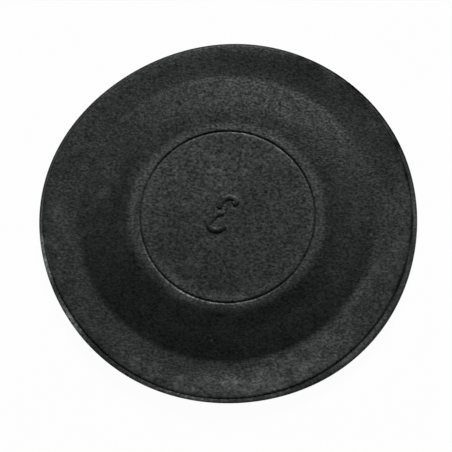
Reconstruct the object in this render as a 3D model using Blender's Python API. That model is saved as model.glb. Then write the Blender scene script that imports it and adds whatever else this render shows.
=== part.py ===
"""Anti-drip valve diaphragm: one rubber moulding with a clamped flange, a domed web and a raised pad."""
import math
import bpy

# Sizes in millimetres, each set on its own.
OUTER_DIAMETER = 22.0
FLANGE_INNER_DIAMETER = 17.4
FLANGE_THICKNESS = 0.6
RIM_STEP_WIDTH = 0.1
RIM_STEP_DEPTH = 0.08
RIM_FACE_DRAFT = 0.25
RIM_BACK_DRAFT = 0.15
PARTING_LAND = 0.06
WEB_RISE = 0.52
WEB_THICKNESS = 0.5
LEDGE_DIAMETER = 11.2
LEDGE_RISE = 0.04
PAD_DIAMETER = 10.1
PAD_LIP_WIDTH = 0.25
PAD_CROWN = 0.1
PAD_FLAT_DIAMETER = 3.0
PAD_THICKNESS = 1.0
CREASE_WIDTH = 0.16
CREASE_DEPTH = 0.1
BOSS_DIAMETER = 9.6

# Small forms in millimetres.
RIM_EDGE_RADIUS = 0.03
RIM_FOOT_RADIUS = 0.08
PAD_EDGE_RADIUS = 0.04
LEDGE_EDGE_RADIUS = 0.05
CREASE_FOOT_RADIUS = 0.02
FLANGE_INNER_RADIUS = 0.8
UNDER_BLEND_RADIUS = 0.2
BOSS_EDGE_RADIUS = 0.08
BOSS_DRAFT = 0.06

# Share of the web's mean slope that it has at the ledge. It is steeper by as much at the flange.
WEB_LEVEL_SHARE = 0.6

# Facet counts.
TURN_STEPS = 96
WEB_STEPS = 6
CROWN_STEPS = 4
ROUND_STEPS = 3

MM = 0.001
MERGE_DISTANCE = 0.0000005


def clear_scene():
    for item in list(bpy.data.objects):
        bpy.data.objects.remove(item, do_unlink=True)


def levels():
    """Heights above the rest plane, in millimetres."""
    ledge_foot = FLANGE_THICKNESS + WEB_RISE
    ledge_top = ledge_foot + LEDGE_RISE
    pad_top = ledge_top + PAD_CROWN
    return {
        "flange_top": FLANGE_THICKNESS,
        "parting": FLANGE_THICKNESS / 2.0,
        "ledge_foot": ledge_foot,
        "ledge_top": ledge_top,
        "crease_low": ledge_top - CREASE_DEPTH,
        "pad_top": pad_top,
        "boss_under": pad_top - PAD_THICKNESS,
    }


def dome(inner, outer, high, low):
    """Points of the web's curve, which falls faster and faster on its way outwards."""
    points = []
    for step in range(WEB_STEPS + 1):
        share = step / WEB_STEPS
        fall = WEB_LEVEL_SHARE * share + (1.0 - WEB_LEVEL_SHARE) * share * share
        points.append((inner + (outer - inner) * share, high - (high - low) * fall, 0.0))
    return points


def crown(inner, outer, high, low):
    """Points of the pad's curve from its flat middle, where it is level, down to its lip."""
    points = []
    for step in range(CROWN_STEPS + 1):
        share = step / CROWN_STEPS
        points.append((inner + (outer - inner) * share, high - (high - low) * share * share, 0.0))
    return points


def rounded(corners):
    """Replace each corner that carries a radius with an arc tangent to its two sides."""
    points = []
    for index, (r, z, radius) in enumerate(corners):
        if radius <= 0.0 or index in (0, len(corners) - 1):
            points.append((r, z))
            continue
        before = corners[index - 1]
        after = corners[index + 1]
        points.extend(corner_arc((r, z), before, after, radius))
    return points


def corner_arc(corner, before, after, radius):
    r, z = corner
    ax, az = before[0] - r, before[1] - z
    bx, bz = after[0] - r, after[1] - z
    a_len = math.hypot(ax, az)
    b_len = math.hypot(bx, bz)
    ax, az = ax / a_len, az / a_len
    bx, bz = bx / b_len, bz / b_len
    opening = math.acos(max(-1.0, min(1.0, ax * bx + az * bz)))
    reach = radius / math.tan(opening / 2.0)
    reach = min(reach, 0.45 * a_len, 0.45 * b_len)
    radius = reach * math.tan(opening / 2.0)
    to_centre = radius / math.sin(opening / 2.0)
    mx, mz = ax + bx, az + bz
    m_len = math.hypot(mx, mz)
    cx, cz = r + mx / m_len * to_centre, z + mz / m_len * to_centre
    start = math.atan2(z + az * reach - cz, r + ax * reach - cx)
    end = math.atan2(z + bz * reach - cz, r + bx * reach - cx)
    turn = (end - start + math.pi) % (2.0 * math.pi) - math.pi
    points = []
    for step in range(ROUND_STEPS + 1):
        angle = start + turn * step / ROUND_STEPS
        points.append((cx + radius * math.cos(angle), cz + radius * math.sin(angle)))
    return points


def top_side(level):
    """Corners from the middle of the pad out to the rim."""
    pad = PAD_DIAMETER / 2.0
    crease_outer = pad + CREASE_WIDTH
    lip = pad - PAD_LIP_WIDTH
    ledge = LEDGE_DIAMETER / 2.0
    flange_inner = FLANGE_INNER_DIAMETER / 2.0
    wall = OUTER_DIAMETER / 2.0 - RIM_FACE_DRAFT
    top = level["flange_top"]
    corners = [(0.0, level["pad_top"], 0.0)]
    corners.extend(crown(PAD_FLAT_DIAMETER / 2.0, lip, level["pad_top"], level["ledge_top"]))
    corners.append((pad, level["ledge_top"], PAD_EDGE_RADIUS))
    corners.append((pad + CREASE_WIDTH / 2.0, level["crease_low"], CREASE_FOOT_RADIUS))
    corners.append((crease_outer, level["ledge_top"], LEDGE_EDGE_RADIUS))
    corners.extend(dome(ledge, flange_inner, level["ledge_foot"], top)[:-1])
    corners.append((flange_inner, top, FLANGE_INNER_RADIUS))
    corners.append((wall - RIM_STEP_WIDTH, top, RIM_EDGE_RADIUS))
    corners.append((wall - RIM_STEP_WIDTH, top - RIM_STEP_DEPTH, 0.0))
    corners.append((wall, top - RIM_STEP_DEPTH, RIM_EDGE_RADIUS))
    return corners


def under_side(level):
    """Corners from the parting line on the rim back to the middle of the underside."""
    rim = OUTER_DIAMETER / 2.0
    boss = BOSS_DIAMETER / 2.0
    ledge = LEDGE_DIAMETER / 2.0
    flange_inner = FLANGE_INNER_DIAMETER / 2.0
    web_high = level["ledge_foot"] - WEB_THICKNESS
    web_low = level["flange_top"] - WEB_THICKNESS
    corners = [(rim, level["parting"] + PARTING_LAND / 2.0, 0.0)]
    corners.append((rim, level["parting"] - PARTING_LAND / 2.0, 0.0))
    corners.append((rim - RIM_BACK_DRAFT, 0.0, RIM_FOOT_RADIUS))
    corners.append((flange_inner, 0.0, UNDER_BLEND_RADIUS / 2.0))
    corners.append((flange_inner, web_low, UNDER_BLEND_RADIUS))
    corners.extend(reversed(dome(ledge, flange_inner, web_high, web_low)[:-1]))
    corners.append((boss + BOSS_DRAFT, web_high, UNDER_BLEND_RADIUS))
    corners.append((boss, level["boss_under"], BOSS_EDGE_RADIUS))
    corners.append((0.0, level["boss_under"], 0.0))
    return corners


def rubber_material():
    """Black moulded rubber, satin and slightly grey."""
    material = bpy.data.materials.new("diaphragm_rubber")
    material.use_nodes = True
    shader = material.node_tree.nodes["Principled BSDF"]
    shader.inputs["Base Color"].default_value = (0.030, 0.032, 0.031, 1.0)
    shader.inputs["Roughness"].default_value = 0.62
    shader.inputs["Metallic"].default_value = 0.0
    return material


def turned_body(name, points, material):
    """Revolve a closed half profile about the Z axis."""
    vertices = [(r * MM, 0.0, z * MM) for r, z in points]
    edges = [(index, index + 1) for index in range(len(vertices) - 1)]
    mesh = bpy.data.meshes.new(name)
    mesh.from_pydata(vertices, edges, [])
    body = bpy.data.objects.new(name, mesh)
    bpy.context.scene.collection.objects.link(body)
    screw = body.modifiers.new("turn", "SCREW")
    screw.axis = "Z"
    screw.angle = 2.0 * math.pi
    screw.steps = TURN_STEPS
    screw.render_steps = TURN_STEPS
    screw.use_merge_vertices = True
    screw.merge_threshold = MERGE_DISTANCE
    screw.use_smooth_shade = True
    body.data.materials.append(material)
    return body


clear_scene()
heights = levels()
profile = rounded(top_side(heights) + under_side(heights))
turned_body("diaphragm", profile, rubber_material())
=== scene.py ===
"""Looks of the anti-drip valve diaphragm: black moulded rubber on a pale studio floor."""

import math

import bmesh
import bpy
from mathutils import Matrix, Vector


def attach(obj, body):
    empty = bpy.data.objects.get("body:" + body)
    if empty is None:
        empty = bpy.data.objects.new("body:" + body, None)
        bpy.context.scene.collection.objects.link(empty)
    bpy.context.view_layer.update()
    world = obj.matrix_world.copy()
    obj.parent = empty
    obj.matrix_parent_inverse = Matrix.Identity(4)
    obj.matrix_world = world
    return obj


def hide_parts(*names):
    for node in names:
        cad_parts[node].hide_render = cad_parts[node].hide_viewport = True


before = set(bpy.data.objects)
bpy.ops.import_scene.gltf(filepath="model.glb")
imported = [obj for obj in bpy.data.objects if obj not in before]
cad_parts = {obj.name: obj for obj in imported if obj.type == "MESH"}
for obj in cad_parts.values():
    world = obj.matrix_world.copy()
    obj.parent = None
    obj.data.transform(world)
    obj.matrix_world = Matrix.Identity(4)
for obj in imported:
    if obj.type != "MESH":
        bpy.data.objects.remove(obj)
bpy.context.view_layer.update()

MM = 0.001

# Radii and heights of the moulding in millimetres, as the solid has them.
RIM_RADIUS = 11.0
RIM_FACE_RADIUS = 10.75
RIM_FOOT_RADIUS = 10.85
FLANGE_RADIUS = 8.7
LEDGE_RADIUS = 5.6
CREASE_OUTER_RADIUS = 5.21
CREASE_INNER_RADIUS = 5.05
PAD_LIP_RADIUS = 4.80
PAD_FLAT_RADIUS = 1.5
BOSS_RADIUS = 4.8
FLANGE_TOP = 0.60
RIM_STEP_DEPTH = 0.08
PARTING_TOP = 0.33
PARTING_LOW = 0.27
LEDGE_FOOT = 1.12
LEDGE_TOP = 1.16
WEB_THICKNESS = 0.5
BOSS_UNDER = 0.26

# Where the soft part differs a little from the solid, in millimetres. The step's wall leans outwards.
RIM_STEP_RADIUS = 10.66
STEP_WALL_LEAN = 0.04
CREASE_LOW = 1.08
PAD_TOP = 1.21

# The flange's face rises by FLANGE_CUP out to the step. At two radii on the way it has these shares.
FLANGE_CUP = 0.10
CUP_SHARES = [(9.3, 0.2), (10.0, 0.6)]

# How far the walls underneath lean, in millimetres: the hollow's and the thickened middle's.
HOLLOW_DRAFT = 0.01
BOSS_DRAFT = 0.06

# Share of the web's mean slope that it has at the ledge.
WEB_LEVEL_SHARE = 0.6

# Widths of the rounded edges, in millimetres.
CREASE_ROUND = 0.06
WEB_FOOT_ROUND = 0.12
RIM_EDGE_ROUND = 0.03
RIM_FOOT_ROUND = 0.08
HOLLOW_ROUND = 0.04
BOSS_ROUND = 0.06

# How finely the form is turned.
TURN = 192
CROWN_STEPS = 8
WEB_STEPS = 20
HOLLOW_STEPS = 10

# How near points have to be to lie on one ring, and to be merged, in millimetres.
RING_TOLERANCE = 0.002
MERGE_DISTANCE = 0.0002


# Edit-mode helpers


def clear_selection():
    bpy.ops.object.select_all(action="DESELECT")


def make_active(piece):
    clear_selection()
    piece.select_set(True)
    bpy.context.view_layer.objects.active = piece


def next_ring(old, new):
    """Extrude the selected ring of edges to a new radius and height."""
    bpy.ops.mesh.extrude_edges_move()
    grow = new[0] / old[0]
    bpy.ops.transform.resize(value=(grow, grow, 1.0), center_override=(0.0, 0.0, 0.0))
    bpy.ops.transform.translate(value=(0.0, 0.0, (new[1] - old[1]) * MM))


def soften_ring(piece, radius, height, width, segments):
    """Bevel the ring of edges that lies at this radius and height."""
    mesh = bmesh.from_edit_mesh(piece.data)
    bpy.ops.mesh.select_all(action="DESELECT")
    mesh.edges.ensure_lookup_table()
    close = RING_TOLERANCE * MM
    for edge in mesh.edges:
        edge.select_set(all(
            abs(vert.co.xy.length - radius * MM) < close and abs(vert.co.z - height * MM) < close
            for vert in edge.verts
        ))
    mesh.select_flush_mode()
    bmesh.update_edit_mesh(piece.data)
    bpy.ops.mesh.bevel(offset=width * MM, segments=segments, profile=0.5, affect="EDGES")


def weld_and_face_outwards():
    """Merge what lies on the same spot and turn every face of the edited mesh outwards."""
    bpy.ops.mesh.select_all(action="SELECT")
    bpy.ops.mesh.remove_doubles(threshold=MERGE_DISTANCE * MM)
    bpy.ops.mesh.normals_make_consistent(inside=False)


# Body


def dome(inner, outer, high, low, steps):
    """Rings of the web, which falls faster and faster on its way outwards."""
    rings = []
    for step in range(steps + 1):
        share = step / steps
        fall = WEB_LEVEL_SHARE * share + (1.0 - WEB_LEVEL_SHARE) * share * share
        rings.append((inner + (outer - inner) * share, high - (high - low) * fall))
    return rings


def crown(inner, outer, high, low, steps):
    """Rings of the pad, which leaves its flat middle level and falls a little to its lip."""
    rings = []
    for step in range(steps + 1):
        share = step / steps
        rings.append((inner + (outer - inner) * share, high - (high - low) * share * share))
    return rings


def top_rings():
    """Radius and height of each ring from the pad's flat middle out to the parting line."""
    edge = FLANGE_TOP + FLANGE_CUP
    rings = crown(PAD_FLAT_RADIUS, PAD_LIP_RADIUS, PAD_TOP, LEDGE_TOP, CROWN_STEPS)
    rings.append((CREASE_INNER_RADIUS, LEDGE_TOP))
    rings.append(((CREASE_INNER_RADIUS + CREASE_OUTER_RADIUS) / 2.0, CREASE_LOW))
    rings.append((CREASE_OUTER_RADIUS, LEDGE_TOP))
    rings += dome(LEDGE_RADIUS, FLANGE_RADIUS, LEDGE_FOOT, FLANGE_TOP, WEB_STEPS)
    rings += [(radius, FLANGE_TOP + share * FLANGE_CUP) for radius, share in CUP_SHARES]
    rings.append((RIM_STEP_RADIUS, edge))
    rings.append((RIM_STEP_RADIUS + STEP_WALL_LEAN, edge - RIM_STEP_DEPTH))
    rings.append((RIM_FACE_RADIUS, edge - RIM_STEP_DEPTH))
    rings.append((RIM_RADIUS, PARTING_TOP + FLANGE_CUP))
    return rings


def under_rings():
    """The same from the parting line back to the thickened middle underneath."""
    rings = [(RIM_RADIUS, PARTING_LOW + FLANGE_CUP)]
    rings.append((RIM_FOOT_RADIUS, 0.0))
    rings.append((FLANGE_RADIUS, 0.0))
    rings.append((FLANGE_RADIUS - HOLLOW_DRAFT, FLANGE_TOP - WEB_THICKNESS))
    web = dome(LEDGE_RADIUS, FLANGE_RADIUS, LEDGE_FOOT, FLANGE_TOP, HOLLOW_STEPS)[1:-1]
    rings += [(radius, height - WEB_THICKNESS) for radius, height in reversed(web)]
    rings.append((BOSS_RADIUS + BOSS_DRAFT, LEDGE_FOOT - WEB_THICKNESS))
    rings.append((BOSS_RADIUS, BOSS_UNDER))
    rings.append((BOSS_RADIUS / 2.0, BOSS_UNDER))
    return rings


def round_edges(body):
    """Round each edge of the moulding, from the crease out to the rim and back underneath."""
    edge = FLANGE_TOP + FLANGE_CUP
    soften_ring(body, CREASE_INNER_RADIUS, LEDGE_TOP, CREASE_ROUND, segments=4)
    soften_ring(body, CREASE_OUTER_RADIUS, LEDGE_TOP, CREASE_ROUND, segments=4)
    soften_ring(body, FLANGE_RADIUS, FLANGE_TOP, WEB_FOOT_ROUND, segments=4)
    soften_ring(body, RIM_STEP_RADIUS, edge, RIM_EDGE_ROUND, segments=3)
    soften_ring(body, RIM_FACE_RADIUS, edge - RIM_STEP_DEPTH, RIM_EDGE_ROUND, segments=2)
    soften_ring(body, RIM_FOOT_RADIUS, 0.0, RIM_FOOT_ROUND, segments=3)
    soften_ring(body, FLANGE_RADIUS, 0.0, HOLLOW_ROUND, segments=3)
    soften_ring(body, BOSS_RADIUS, BOSS_UNDER, BOSS_ROUND, segments=3)


def moulded_body():
    """Turn the moulding ring by ring, then round its edges."""
    rings = top_rings() + under_rings()
    first_radius, first_height = rings[0]
    clear_selection()
    bpy.ops.mesh.primitive_circle_add(
        vertices=TURN,
        radius=first_radius * MM,
        fill_type="NOTHING",
        location=(0.0, 0.0, first_height * MM),
    )
    body = bpy.context.object
    body.name = body.data.name = "moulded_diaphragm"
    bpy.ops.object.transform_apply(location=True, rotation=True, scale=True)
    bpy.ops.object.mode_set(mode="EDIT")
    bpy.ops.mesh.select_mode(type="EDGE")
    bpy.ops.mesh.select_all(action="SELECT")
    bpy.ops.mesh.edge_face_add()
    bpy.ops.mesh.select_all(action="DESELECT")
    bpy.ops.mesh.select_non_manifold()
    for old, new in zip(rings, rings[1:]):
        next_ring(old, new)
    bpy.ops.mesh.edge_face_add()
    round_edges(body)
    weld_and_face_outwards()
    bpy.ops.object.mode_set(mode="OBJECT")
    return body


# Soft rubber is never quite round

# The pad is longer and narrower by these shares, and lies this far off the middle, in millimetres.
PAD_LONGER = 0.018
PAD_NARROWER = 0.012
PAD_BACK = 0.05
PAD_ASIDE = 0.06

# Its easing is whole up to the first radius and gone at the second.
PAD_ZONE = 5.8
PAD_ZONE_END = 8.2

# The flange's inner ring lies this far off the middle. Points further from it than its zone stay.
FLANGE_ASIDE = 0.09
FLANGE_BACK = 0.12
FLANGE_ZONE = 1.2

# Slow waves of the rim and of the step on it, in millimetres: how many go round, where 0 is an even
# shift, then the cosine part and the sine part. The flange starts to follow the step at WAVES_START.
RIM_WAVES = [
    (1, -0.005, -0.026),
    (2, 0.010, -0.015),
    (3, -0.052, 0.027),
    (4, -0.014, -0.015),
    (5, 0.013, 0.024),
]
STEP_WAVES = [
    (0, -0.013, 0.0),
    (1, -0.048, -0.012),
    (2, 0.009, 0.010),
    (3, -0.031, 0.056),
    (4, 0.013, -0.037),
    (5, 0.007, 0.016),
]
WAVES_START = 9.4


def clamp(value):
    return min(1.0, max(0.0, value))


def ease_out_of_round(body):
    """Ease the pad's ring and the flange's inner ring out of round, fading out along the web."""
    for vert in body.data.vertices:
        reach = (vert.co.xy.length / MM - PAD_ZONE) / (PAD_ZONE_END - PAD_ZONE)
        share = 1.0 - clamp(reach)
        share = share * share * (3.0 - 2.0 * share)
        vert.co.x = vert.co.x * (1.0 - PAD_NARROWER * share) - PAD_ASIDE * MM * share
        vert.co.y = vert.co.y * (1.0 + PAD_LONGER * share) - PAD_BACK * MM * share
        near = max(0.0, 1.0 - abs(vert.co.xy.length / MM - FLANGE_RADIUS) / FLANGE_ZONE)
        vert.co.x -= FLANGE_ASIDE * MM * near
        vert.co.y += FLANGE_BACK * MM * near


def wave(waves, azimuth):
    return sum(
        level * math.cos(count * azimuth) + side * math.sin(count * azimuth)
        for count, level, side in waves
    )


def wave_rim(body):
    """Let the step follow its own waves and the rim's edge its own."""
    for vert in body.data.vertices:
        radius = vert.co.xy.length / MM
        if radius <= WAVES_START:
            continue
        azimuth = math.atan2(vert.co.y, vert.co.x)
        step = wave(STEP_WAVES, azimuth)
        if radius > RIM_STEP_RADIUS:
            share = clamp((radius - RIM_FACE_RADIUS) / (RIM_FOOT_RADIUS - RIM_FACE_RADIUS))
            move = step + (wave(RIM_WAVES, azimuth) - step) * share
        else:
            move = step * (radius - WAVES_START) / (RIM_STEP_RADIUS - WAVES_START)
        vert.co.xy *= 1.0 + move / radius


# Moulded numeral

# A plain figure three: the middle of its stroke on the pad, in millimetres.
UPPER_BOWL = [
    (0.42, 0.58), (0.60, 0.66), (0.56, 0.84), (0.37, 0.98), (0.16, 1.04), (-0.04, 1.00),
    (-0.21, 0.87), (-0.34, 0.70), (-0.45, 0.52),
]
LOWER_BOWL = [
    (-0.20, 0.11), (-0.39, 0.17), (-0.62, 0.12), (-0.84, -0.02), (-1.03, -0.19), (-1.18, -0.36),
    (-1.19, -0.55), (-1.07, -0.71), (-0.88, -0.81), (-0.66, -0.83), (-0.44, -0.77), (-0.26, -0.66),
]
STROKE_RADIUS = 0.31
STROKE_HEIGHT = 0.075
SMOOTH_ANGLE = math.radians(32.0)


def stroke(route):
    """A round stroke laid along the pad's face, its top at the numeral's height."""
    clear_selection()
    bpy.ops.curve.primitive_bezier_curve_add(location=(0.0, 0.0, 0.0))
    path = bpy.context.object
    spline = path.data.splines[0]
    spline.bezier_points.add(len(route) - len(spline.bezier_points))
    for point, (x, y) in zip(spline.bezier_points, route):
        point.co = (x * MM, y * MM, (PAD_TOP + STROKE_HEIGHT - STROKE_RADIUS) * MM)
        point.handle_left_type = point.handle_right_type = "AUTO"
    path.data.bevel_depth = STROKE_RADIUS * MM
    path.data.bevel_resolution = 4
    path.data.resolution_u = 5
    path.data.use_fill_caps = True
    bpy.ops.object.convert(target="MESH")
    bpy.ops.object.mode_set(mode="EDIT")
    weld_and_face_outwards()
    bpy.ops.object.mode_set(mode="OBJECT")
    return bpy.context.object


def raise_numeral(body):
    """Raise the numeral on the pad, one bowl at a time."""
    for route in (UPPER_BOWL, LOWER_BOWL):
        ridge = stroke(route)
        make_active(body)
        join = body.modifiers.new("numeral", "BOOLEAN")
        join.operation = "UNION"
        join.solver = "EXACT"
        join.use_self = True
        join.object = ridge
        bpy.ops.object.modifier_apply(modifier=join.name)
        bpy.data.objects.remove(ridge, do_unlink=True)
    bpy.ops.object.shade_smooth_by_angle(angle=SMOOTH_ANGLE)


# Node helpers

# The range that holds most of a noise pattern's levels, and a wider one.
MIDDLE = (0.35, 0.65)
WIDE = (0.3, 0.7)


def add_node(tree, kind, **values):
    """A new node with some of its inputs or settings given by name."""
    node = tree.nodes.new(kind)
    for name, value in values.items():
        if name in node.inputs:
            node.inputs[name].default_value = value
        else:
            setattr(node, name, value)
    return node


def spread(tree, source, levels, results):
    """Stretch the range between two levels to the two given results, and stop there."""
    node = add_node(tree, "ShaderNodeMapRange")
    node.inputs["From Min"].default_value, node.inputs["From Max"].default_value = levels
    node.inputs["To Min"].default_value, node.inputs["To Max"].default_value = results
    tree.links.new(source, node.inputs["Value"])
    return node.outputs["Result"]


def combine(tree, operation, first, second):
    """A Math node on two values, each an output to link or a plain number."""
    node = add_node(tree, "ShaderNodeMath", operation=operation)
    for slot, value in enumerate((first, second)):
        if isinstance(value, float):
            node.inputs[slot].default_value = value
        else:
            tree.links.new(value, node.inputs[slot])
    return node.outputs["Value"]


def product(tree, first, *others):
    for other in others:
        first = combine(tree, "MULTIPLY", first, other)
    return first


def blend_levels(tree, share, first, second):
    """From a plain number where the share is 0 to a linked value where it is 1."""
    mix = add_node(tree, "ShaderNodeMix", data_type="FLOAT")
    mix.inputs[2].default_value = first
    tree.links.new(share, mix.inputs[0])
    tree.links.new(second, mix.inputs[3])
    return mix.outputs[0]


def vector_math(tree, place, operation, vector):
    node = add_node(tree, "ShaderNodeVectorMath", operation=operation)
    node.inputs[1].default_value = vector
    tree.links.new(place, node.inputs[0])
    return node.outputs["Vector"]


def length_of(tree, vector):
    node = add_node(tree, "ShaderNodeVectorMath", operation="LENGTH")
    tree.links.new(vector, node.inputs[0])
    return node.outputs["Value"]


def axes_of(tree, vector):
    node = add_node(tree, "ShaderNodeSeparateXYZ")
    tree.links.new(vector, node.inputs["Vector"])
    return node.outputs


def local_place(tree, place, centre, turn, size):
    """Coordinates about a centre, turned, and counted in lengths of the given size."""
    node = add_node(tree, "ShaderNodeMapping", vector_type="TEXTURE")
    node.inputs["Location"].default_value = centre
    node.inputs["Rotation"].default_value = (0.0, 0.0, turn)
    node.inputs["Scale"].default_value = size
    tree.links.new(place, node.inputs["Vector"])
    return node.outputs["Vector"]


def noise(tree, place, scale, detail, roughness):
    node = add_node(tree, "ShaderNodeTexNoise", Scale=scale, Detail=detail, Roughness=roughness)
    tree.links.new(place, node.inputs["Vector"])
    return node.outputs["Fac"]


# Tone from place to place, with painted light and shade

# Tone by distance from the pad's middle, from 0 there to 1 at the rim: paler on the pad's lip and the
# ledge, darkest on the web just outside the ledge, and darker over the rest of the web than on the pad
# and the flange.
TONE_BY_SHARE = [
    (0.0, 1.05),
    (0.41, 1.05),
    (0.445, 1.3),
    (0.495, 1.3),
    (0.515, 1.0),
    (0.535, 0.62),
    (0.58, 0.62),
    (0.65, 0.80),
    (0.77, 0.80),
    (0.80, 1.0),
    (1.0, 1.0),
]
UNDERSIDE_TONE = 1.0
# The numeral's top is darker, painted shade that damps the highlight on it.
NUMERAL_TOP_SHADE = 0.72

# The step is darker, painted shade in it. The rim's face is paler on its near side, painted light, and
# darker on its far side and towards its foot, painted shade.
STEP_PAINTED_SHADE = 0.6
FACE_PAINTED_LIGHT_NEAR = 3.1
FACE_PAINTED_SHADE_FAR = 0.75
FACE_FOOT_SHADE_SHARE = 0.5
NEAR_TO_FAR = (-8.0, 8.0)

# Heights in millimetres over which each of these tones comes in.
STEP_FROM = (0.682, 0.670)
FACE_FROM = (0.615, 0.60)
FACE_FOOT_FROM = (0.54, 0.47)
NUMERAL_FROM = (PAD_TOP + 0.01, PAD_TOP + 0.04)

# Where the rim starts, as a share of its radius, and which heights of the normal turn a face upwards.
RIM_FROM = (0.955, 0.960)
TOP_FROM = (-0.1, 0.1)

# Places made paler (+) or darker (-): radius, azimuth, half length along the ring,
# half length across it, change of tone. Lengths are in millimetres, azimuths in degrees from +X. Most
# rows are painted highlights, painted reflection and painted shade, as marked; the others are paler or
# darker patches.
PAINTED_LIGHT_AND_PATCH_PLACES = [
    # Painted highlight on the flange's near side.
    (9.9, -70.0, 4.5, 1.9, 0.75),
    (10.0, -97.0, 4.5, 1.2, 1.10),
    # Painted shade on the rim's face, near side.
    (11.1, -97.0, 3.0, 0.6, -0.50),
    # Painted reflection of the lit floor on the rim's face, near-left, left and right.
    (11.1, -155.0, 2.8, 0.5, 4.40),
    (11.1, -176.0, 2.8, 0.5, 4.00),
    (11.1, -9.0, 2.2, 0.5, 0.70),
    # Painted shade in the step, right and near-right.
    (10.68, 3.0, 1.6, 0.22, -0.80),
    (10.66, -13.0, 2.2, 0.22, -0.80),
    (10.64, -30.0, 2.6, 0.22, -0.70),
    # Painted shade on the rim, far-right.
    (11.1, 36.0, 5.0, 0.5, -0.30),
    # Painted highlight along the flange's inner edge, near-right.
    (8.75, -46.0, 4.0, 0.5, 0.40),
    # Paler or darker patches.
    (5.13, 68.0, 3.2, 0.16, 0.60),
    (7.7, 158.0, 3.8, 1.4, 0.30),
    (10.3, -124.0, 3.5, 1.1, 0.50),
    (9.8, -15.0, 5.0, 1.6, 0.25),
    (9.9, 62.0, 7.0, 1.7, -0.25),
    # Painted shade on the rim, right and far-right.
    (11.0, 55.0, 3.2, 1.1, -0.50),
    (11.0, 34.0, 3.2, 1.1, -0.65),
    (11.0, 15.0, 3.0, 1.1, -0.65),
    # Paler or darker patches.
    (9.9, 171.0, 3.0, 1.2, 0.25),
    (2.6, 130.0, 4.4, 4.0, 0.30),
    (5.4, 160.0, 5.0, 1.0, 0.35),
    # Painted highlight on the pad's lip, near-left.
    (5.0, -105.0, 3.5, 0.5, 0.60),
    # Painted shade in the crease, left.
    (5.25, 162.0, 2.2, 0.3, -0.50),
    # Painted highlight on the pad's lip, near-left.
    (5.0, -142.0, 3.0, 0.5, 0.40),
    # Paler or darker patches.
    (4.9, 75.0, 3.5, 0.6, -0.16),
    (6.2, -70.0, 3.5, 1.0, -0.30),
]

# A place's change comes in from the end of its half lengths and is whole at a fifth of them.
PLACE_CHANGE_FROM = (1.0, 0.2)
LEAST_TONE = 0.1


def share_of_radius(tree, place):
    """Distance from the pad's own middle, 1 at the rim, whatever the height."""
    centred = vector_math(tree, place, "SUBTRACT", (PAD_ASIDE * -MM, 0.0, 0.0))
    flat = vector_math(tree, centred, "MULTIPLY", (1.0, 1.0, 0.0))
    return spread(tree, length_of(tree, flat), (0.0, RIM_RADIUS * MM), (0.0, 1.0))


def ring_tone(tree, share, normal):
    """Tone of each ring of the face. The ramp holds half of it, because its colours end at 1."""
    ramp = add_node(tree, "ShaderNodeValToRGB")
    stops = ramp.color_ramp.elements
    while len(stops) < len(TONE_BY_SHARE):
        stops.new(0.5)
    for stop, (position, tone) in zip(stops, TONE_BY_SHARE):
        stop.position = position
        stop.color = (tone / 2.0, tone / 2.0, tone / 2.0, 1.0)
    tree.links.new(share, ramp.inputs["Fac"])
    is_top = spread(tree, axes_of(tree, normal)["Z"], TOP_FROM, (0.0, 1.0))
    return blend_levels(tree, is_top, UNDERSIDE_TONE, product(tree, ramp.outputs["Color"], 2.0))


def between(tree, axis, places, results):
    """Change from one result to the other between two places on an axis, in millimetres."""
    return spread(tree, axis, [place * MM for place in places], results)


def tone_with_painted_light_and_shade(tree, place, normal, share):
    """Tone by ring and height, with painted shade in the rim's step, painted light and shade on the
    rim's face, and painted shade on the numeral's top.
    """
    axes = axes_of(tree, place)
    height = axes["Z"]
    # Painted light on the rim's near face, and painted shade on its far face, towards its foot and in
    # the step.
    near_light_far_shade = between(tree, axes["Y"], NEAR_TO_FAR, (FACE_PAINTED_LIGHT_NEAR, FACE_PAINTED_SHADE_FAR))
    face = product(tree, near_light_far_shade, between(tree, height, FACE_FOOT_FROM, (1.0, FACE_FOOT_SHADE_SHARE)))
    rim = blend_levels(tree, between(tree, height, FACE_FROM, (0.0, 1.0)), STEP_PAINTED_SHADE, face)
    below_flange = between(tree, height, STEP_FROM, (0.0, 1.0))
    on_rim = product(tree, below_flange, spread(tree, share, RIM_FROM, (0.0, 1.0)))
    tone = product(tree, ring_tone(tree, share, normal), blend_levels(tree, on_rim, 1.0, rim))
    return product(tree, tone, between(tree, height, NUMERAL_FROM, (1.0, NUMERAL_TOP_SHADE)))


def painted_light_and_patch_tone(tree, place, mottle):
    """Sum up the listed places of painted light and shade and of patches, all of them mottled, around
    1.
    """
    total = None
    for radius, azimuth, along, across, change in PAINTED_LIGHT_AND_PATCH_PLACES:
        turn = math.radians(azimuth)
        centre = (radius * math.cos(turn) * MM, radius * math.sin(turn) * MM, 0.0)
        local = local_place(tree, place, centre, turn, (across * MM, along * MM, 1.0))
        spot = spread(tree, length_of(tree, local), PLACE_CHANGE_FROM, (0.0, change))
        total = spot if total is None else combine(tree, "ADD", total, spot)
    tone = combine(tree, "ADD", product(tree, total, mottle), 1.0)
    return combine(tree, "MAXIMUM", tone, LEAST_TONE)


# Rubber

# Scales of the patterns, per metre.
GRAIN = 8000.0
FLECKS = 5200.0
STREAKS = 6000.0
MOTTLING = 1300.0
PATCHES = 420.0
DUST_CELLS = 1500.0

# The rubber was wiped in this direction, which draws out the grain a little and the streaks more.
WIPED = math.radians(-10.0)
GRAIN_DRAWN = 1.25
STREAKS_DRAWN = 4.0

# What the fine grain and the flecks take from the tone or add to it.
GRAIN_CHANGE = (-0.38, 0.46)
FLECK_CHANGE = (-0.34, 0.50)

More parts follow.
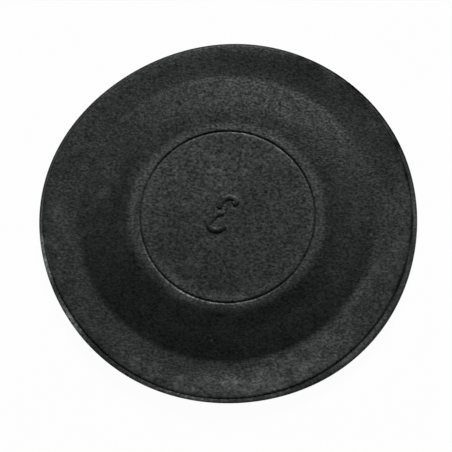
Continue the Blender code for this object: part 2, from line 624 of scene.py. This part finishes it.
# What the slower patterns multiply it by. The listed places of painted light and shade and of patches
# are mottled more than the rest.
STREAK_TONES = (0.95, 1.05)
PATCH_TONES = (0.88, 1.12)
MOTTLED_TONES = (0.86, 1.14)
PLACE_MOTTLING = (0.6, 1.4)

# Roughness of the patches, and what the grain's pits and peaks add to it.
PATCH_ROUGHNESS = (0.62, 0.70)
GRAIN_ROUGHNESS = (0.08, -0.05)

# Grain and flecks are a little stronger on the pad than outside it. The change lies in this range.
GRAIN_STRENGTH = (1.05, 0.90)
OUTSIDE_FROM = (0.47, 0.55)

# Distance from a cell's middle over which its speck comes in, its tone, and which cells have one.
SPECK_FROM = (0.13, 0.05)
SPECK_TONE = 2.4
SPECK_CELLS = (0.72, 1.0)

# Linear colour and specular level at tone 1, and the height of the grain's relief in millimetres.
BLACK = (0.0057, 0.0068, 0.0063)
SPECULAR = 0.47
SPECULAR_TINT = (0.93, 1.0, 0.965, 1.0)
RELIEF = 0.02


def drawn_out(tree, place, factor):
    return local_place(tree, place, (0.0, 0.0, 0.0), WIPED, (factor, 1.0, 1.0))


def grain_tone(tree, place, grain, share):
    """Fine grain and coarser flecks, around 1."""
    fine = spread(tree, grain, WIDE, GRAIN_CHANGE)
    flecks = noise(tree, place, FLECKS, detail=2.0, roughness=0.7)
    coarse = spread(tree, flecks, WIDE, FLECK_CHANGE)
    strength = spread(tree, share, OUTSIDE_FROM, GRAIN_STRENGTH)
    return combine(tree, "ADD", product(tree, combine(tree, "ADD", fine, coarse), strength), 1.0)


def dust(tree, place):
    """A few pale specks, one in some of the cells of a coarse pattern."""
    cells = add_node(tree, "ShaderNodeTexVoronoi", Scale=DUST_CELLS)
    tree.links.new(place, cells.inputs["Vector"])
    speck = spread(tree, cells.outputs["Distance"], SPECK_FROM, (0.0, SPECK_TONE))
    kind = add_node(tree, "ShaderNodeSeparateColor")
    tree.links.new(cells.outputs["Color"], kind.inputs["Color"])
    chosen = spread(tree, kind.outputs["Red"], SPECK_CELLS, (0.0, 1.0))
    return product(tree, speck, chosen)


def rubber_tone(tree, place, normal, grain, patches):
    """All that makes the rubber paler or darker from place to place, around 1."""
    share = share_of_radius(tree, place)
    streaks = noise(tree, drawn_out(tree, place, STREAKS_DRAWN), STREAKS, detail=2.0, roughness=0.6)
    mottling = noise(tree, place, MOTTLING, detail=3.0, roughness=0.6)
    tone = product(
        tree,
        grain_tone(tree, place, grain, share),
        tone_with_painted_light_and_shade(tree, place, normal, share),
        spread(tree, streaks, MIDDLE, STREAK_TONES),
        spread(tree, patches, MIDDLE, PATCH_TONES),
        spread(tree, mottling, MIDDLE, MOTTLED_TONES),
        painted_light_and_patch_tone(tree, place, spread(tree, mottling, MIDDLE, PLACE_MOTTLING)),
    )
    return combine(tree, "ADD", tone, dust(tree, place))


def rubber_material():
    """Black rubber: fine grain, faint wiping streaks, dull patches and a few specks of dust."""
    material = bpy.data.materials.new("black_rubber")
    material.use_nodes = True
    tree = material.node_tree
    link = tree.links.new
    shader = tree.nodes["Principled BSDF"]
    coordinates = add_node(tree, "ShaderNodeTexCoord")
    place = coordinates.outputs["Object"]
    grain = noise(tree, drawn_out(tree, place, GRAIN_DRAWN), GRAIN, detail=1.0, roughness=0.5)
    patches = noise(tree, place, PATCHES, detail=3.0, roughness=0.55)
    tone = rubber_tone(tree, place, coordinates.outputs["Normal"], grain, patches)

    colour = add_node(tree, "ShaderNodeVectorMath", operation="SCALE")
    colour.inputs[0].default_value = BLACK
    link(tone, colour.inputs["Scale"])
    link(colour.outputs["Vector"], shader.inputs["Base Color"])
    link(product(tree, tone, SPECULAR), shader.inputs["Specular IOR Level"])
    shader.inputs["Specular Tint"].default_value = SPECULAR_TINT

    dull_patches = spread(tree, patches, MIDDLE, PATCH_ROUGHNESS)
    dull_pits = spread(tree, grain, MIDDLE, GRAIN_ROUGHNESS)
    link(combine(tree, "ADD", dull_patches, dull_pits), shader.inputs["Roughness"])

    bump = add_node(tree, "ShaderNodeBump", Strength=0.8, Distance=RELIEF * MM)
    link(grain, bump.inputs["Height"])
    link(bump.outputs["Normal"], shader.inputs["Normal"])
    return material


# Studio, in metres

# The gap keeps the floor clear of the flange's back.
FLOOR_GAP = 0.00001
FLOOR_RADIUS = 1.0
COVE = [(1.25, 0.04), (1.40, 0.14), (1.46, 0.28), (1.48, 0.45)]
FLOOR_GREY = (0.86, 0.86, 0.86, 1.0)
WHITE = (1.0, 1.0, 1.0, 1.0)

# Share of plain white in what the camera and reflections see of the floor. The rest takes the shadow.
WHITE_SHARE = 0.97

# Strength of the world's light on the part. The camera sees the world white.
AIR_LIGHT = 0.03


def floor_material():
    """Pale floor that shows white to the camera and still takes the part's soft shadow."""
    material = bpy.data.materials.new("studio_floor")
    material.use_nodes = True
    tree = material.node_tree
    link = tree.links.new
    shader = tree.nodes["Principled BSDF"]
    shader.inputs["Base Color"].default_value = FLOOR_GREY
    shader.inputs["Roughness"].default_value = 0.9
    shader.inputs["Specular IOR Level"].default_value = 0.0
    white = add_node(tree, "ShaderNodeEmission")
    white.inputs["Color"].default_value = WHITE
    seen = add_node(tree, "ShaderNodeLightPath").outputs
    shown = combine(tree, "MAXIMUM", seen["Is Camera Ray"], seen["Is Glossy Ray"])
    mix = add_node(tree, "ShaderNodeMixShader")
    link(product(tree, shown, WHITE_SHARE), mix.inputs["Fac"])
    link(shader.outputs["BSDF"], mix.inputs[1])
    link(white.outputs["Emission"], mix.inputs[2])
    link(mix.outputs["Shader"], tree.nodes["Material Output"].inputs["Surface"])
    return material


def studio_floor():
    """A round floor whose edge sweeps up into a low cove."""
    clear_selection()
    bpy.ops.mesh.primitive_circle_add(vertices=96, radius=FLOOR_RADIUS, fill_type="NGON")
    floor = bpy.context.object
    floor.name = "studio_floor"
    bpy.ops.object.mode_set(mode="EDIT")
    bpy.ops.mesh.select_mode(type="EDGE")
    bpy.ops.mesh.select_all(action="SELECT")
    bpy.ops.transform.translate(value=(0.0, 0.0, -FLOOR_GAP))
    bpy.ops.mesh.select_all(action="DESELECT")
    bpy.ops.mesh.select_non_manifold()
    radius, height = FLOOR_RADIUS, 0.0
    for wider, higher in COVE:
        grow = wider / radius
        bpy.ops.mesh.extrude_edges_move()
        bpy.ops.transform.resize(value=(grow, grow, 1.0), center_override=(0.0, 0.0, 0.0))
        bpy.ops.transform.translate(value=(0.0, 0.0, higher - height))
        radius, height = wider, higher
    bpy.ops.object.mode_set(mode="OBJECT")
    bpy.ops.object.shade_smooth_by_angle(angle=math.radians(40.0))
    floor.data.materials.append(floor_material())


def soft_light(name, azimuth, elevation, distance, size, watts):
    """A round lamp aimed at the part. Azimuth is in degrees from +X towards +Y."""
    turn, rise = math.radians(azimuth), math.radians(elevation)
    way = Vector((math.cos(turn) * math.cos(rise), math.sin(turn) * math.cos(rise), math.sin(rise)))
    lamp = bpy.data.lights.new(name, "AREA")
    lamp.shape = "DISK"
    lamp.size = size
    lamp.energy = watts
    holder = bpy.data.objects.new(name, lamp)
    bpy.context.scene.collection.objects.link(holder)
    facing = way.to_track_quat("Z", "Y").to_matrix().to_4x4()
    holder.matrix_world = Matrix.Translation(way * distance) @ facing


def studio_light():
    """One soft lamp behind the part and a faint even light from the world."""
    soft_light("far_softbox", azimuth=72.0, elevation=28.0, distance=1.0, size=0.25, watts=11.4)
    world = bpy.data.worlds.new("studio_air")
    world.use_nodes = True
    tree = world.node_tree
    sky = tree.nodes["Background"]
    sky.inputs["Color"].default_value = WHITE
    seen = add_node(tree, "ShaderNodeLightPath").outputs
    level = spread(tree, seen["Is Camera Ray"], (0.0, 1.0), (AIR_LIGHT, 1.0))
    tree.links.new(level, sky.inputs["Strength"])
    bpy.context.scene.world = world


def photo_camera():
    """Seen from steeply above, with the camera rolled a little. Lengths are in millimetres."""
    elevation = math.radians(71.94)
    roll = math.radians(-9.03)
    distance = 130.0
    aim = Vector((-0.215, -0.460, FLANGE_TOP))
    focal_pixels = 2239.5
    image_pixels = 452.0
    sensor = 36.0
    camera_data = bpy.data.cameras.new("photo_camera")
    camera = bpy.data.objects.new("photo_camera", camera_data)
    bpy.context.scene.collection.objects.link(camera)
    camera_data.sensor_width = sensor
    camera_data.lens = focal_pixels * sensor / image_pixels
    camera_data.clip_start = MM
    place = aim + distance * Vector((0.0, -math.cos(elevation), math.sin(elevation)))
    tilt = Matrix.Rotation(math.pi / 2.0 - elevation, 4, "X")
    camera.matrix_world = Matrix.Translation(place * MM) @ tilt @ Matrix.Rotation(roll, 4, "Z")
    bpy.context.scene.camera = camera


body = moulded_body()
ease_out_of_round(body)
wave_rim(body)
raise_numeral(body)
body.data.materials.clear()
body.data.materials.append(rubber_material())
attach(body, "root")
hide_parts("diaphragm")

studio_floor()
studio_light()
photo_camera()
bpy.context.scene.view_settings.view_transform = "Standard"
